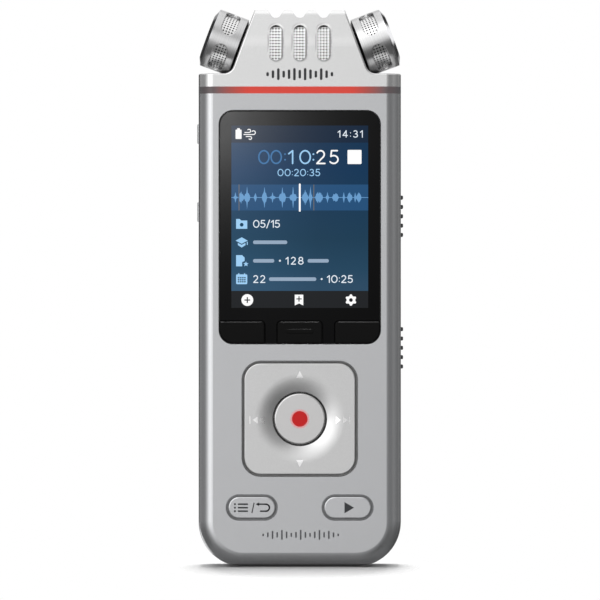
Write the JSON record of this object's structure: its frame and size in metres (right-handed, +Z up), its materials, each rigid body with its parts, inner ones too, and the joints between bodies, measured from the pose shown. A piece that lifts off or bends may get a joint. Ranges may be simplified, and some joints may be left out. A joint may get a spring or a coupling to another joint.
{
  "type": "handheld voice recorder",
  "caption": "Slim upright handheld voice recorder with a colour display, key pad, status-light ring and tilted microphone drums beside a sloped head.",
  "frame": {"origin": "middle of the foot: halfway across, halfway deep, on the surface the recorder stands on", "axes": "+Z runs up along the recorder, the front with the display faces -Y, +X is to the right seen from the front"},
  "size_m": [0.0463, 0.0171, 0.1254],
  "materials": {
    "shell": "satin silver metallic paint on ABS",
    "head": "satin light silver metallic paint on ABS",
    "ring": "translucent light guide, lit red in the middle",
    "mesh": "bright perforated steel",
    "capsule": "satin",
    "rubber": "moulded black rubber",
    "lens": "clear lens with a black printed border",
    "lcd": "display glass",
    "white_frame": "white light box",
    "flex": "polyimide ribbon",
    "pad": "satin light silver metallic paint",
    "button": "satin silver metallic paint",
    "slide_grip": "dark grey moulded grip",
    "red_mark": "red inlay",
    "black_key": "semi-gloss black",
    "steel": "plain sheet steel",
    "board": "green solder mask on glass-fibre laminate",
    "chips": "moulded black epoxy",
    "led": "light-emitting parts",
    "socket_plastic": "black socket body",
    "bracket": "moulded dark grey plastic",
    "screws": "nickel-plated steel",
    "cell": "foil pouch cell",
    "wires": "insulated wire",
    "speaker_metal": "speaker basket and magnet",
    "brass": "turned brass",
    "barrel": "brushed satin metal",
    "chrome_cap": "polished metal"
  },
  "bodies": {
    "recorder": {"front_cover": "shell", "rear_cover": "shell", "light_ring": "ring", "mic_head": "head", "centre_mic_mesh": "mesh", "centre_mic_capsule": "capsule", "centre_mic_boot": "rubber", "display_window": "lens", "lcd_panel": "lcd", "lcd_backlight": "white_frame", "lcd_flex": "flex", "main_board": "board", "board_chips": "chips", "dome_switches": "steel", "side_key_switches": "chips", "slide_switches": "steel", "ring_leds": "led", "headphone_jack": "socket_plastic", "microphone_jack": "socket_plastic", "usb_socket": "steel", "card_socket": "steel", "mic_bracket": "bracket", "bracket_screws": "screws", "battery": "cell", "battery_leads": "wires", "speaker": "speaker_metal", "speaker_gasket": "rubber", "speaker_leads": "wires", "mic_leads": "wires", "case_screws": "screws", "board_screws": "screws", "tripod_insert": "brass", "drum_barrel_left": "barrel", "drum_cap_left": "chrome_cap", "drum_mesh_left": "mesh", "mic_boot_left": "rubber", "mic_capsule_left": "capsule", "drum_barrel_right": "barrel", "drum_cap_right": "chrome_cap", "drum_mesh_right": "mesh", "mic_boot_right": "rubber", "mic_capsule_right": "capsule"},
    "function_key_left_body": {"function_key_left": "black_key"},
    "function_key_middle_body": {"function_key_middle": "black_key"},
    "function_key_right_body": {"function_key_right": "black_key"},
    "record_button_body": {"record_button": "button", "record_mark": "red_mark"},
    "menu_key_body": {"menu_key": "button"},
    "play_key_body": {"play_key": "button"},
    "pad_gimbal_body": {"pad_gimbal": "steel"},
    "navigation_pad_body": {"navigation_pad": "pad"},
    "volume_up_key_body": {"volume_up_key": "button"},
    "volume_down_key_body": {"volume_down_key": "button"},
    "hold_slider_body": {"hold_slider": "slide_grip"},
    "mode_slider_body": {"mode_slider": "slide_grip"}
  },
  "joints": [
    {"name": "function_key_left_press", "type": "slide", "parent": "recorder", "child": "function_key_left_body", "axis": [0, 1, 0], "range_m": [0, 0.0003], "stiffness_N_per_m": 1500},
    {"name": "function_key_middle_press", "type": "slide", "parent": "recorder", "child": "function_key_middle_body", "axis": [0, 1, 0], "range_m": [0, 0.0003], "stiffness_N_per_m": 1500},
    {"name": "function_key_right_press", "type": "slide", "parent": "recorder", "child": "function_key_right_body", "axis": [0, 1, 0], "range_m": [0, 0.0003], "stiffness_N_per_m": 1500},
    {"name": "menu_key_press", "type": "slide", "parent": "recorder", "child": "menu_key_body", "axis": [0, 1, 0], "range_m": [0, 0.0003], "stiffness_N_per_m": 1500},
    {"name": "play_key_press", "type": "slide", "parent": "recorder", "child": "play_key_body", "axis": [0, 1, 0], "range_m": [0, 0.0003], "stiffness_N_per_m": 1500},
    {"name": "record_button_press", "type": "slide", "parent": "recorder", "child": "record_button_body", "axis": [0, 1, 0], "range_m": [0, 0.0003], "stiffness_N_per_m": 1500},
    {"name": "volume_up_key_press", "type": "slide", "parent": "recorder", "child": "volume_up_key_body", "axis": [1, 0, 0], "range_m": [0, 0.0003], "stiffness_N_per_m": 1500},
    {"name": "volume_down_key_press", "type": "slide", "parent": "recorder", "child": "volume_down_key_body", "axis": [1, 0, 0], "range_m": [0, 0.0003], "stiffness_N_per_m": 1500},
    {"name": "pad_rock_up_down", "type": "hinge", "parent": "recorder", "child": "pad_gimbal_body", "pos_m": [0, -0.0052, 0.03325], "axis": [1, 0, 0], "range_deg": [-1, 1], "stiffness_Nm_per_rad": 1.2},
    {"name": "pad_rock_left_right", "type": "hinge", "parent": "pad_gimbal_body", "child": "navigation_pad_body", "pos_m": [0, -0.0052, 0.03325], "axis": [0, 0, 1], "range_deg": [-1, 1], "stiffness_Nm_per_rad": 1.2},
    {"name": "hold_slider_slide", "type": "slide", "parent": "recorder", "child": "hold_slider_body", "axis": [0, 0, 1], "range_m": [0, 0.002]},
    {"name": "mode_slider_slide", "type": "slide", "parent": "recorder", "child": "mode_slider_body", "axis": [0, 0, 1], "range_m": [0, 0.002]}
  ]
}
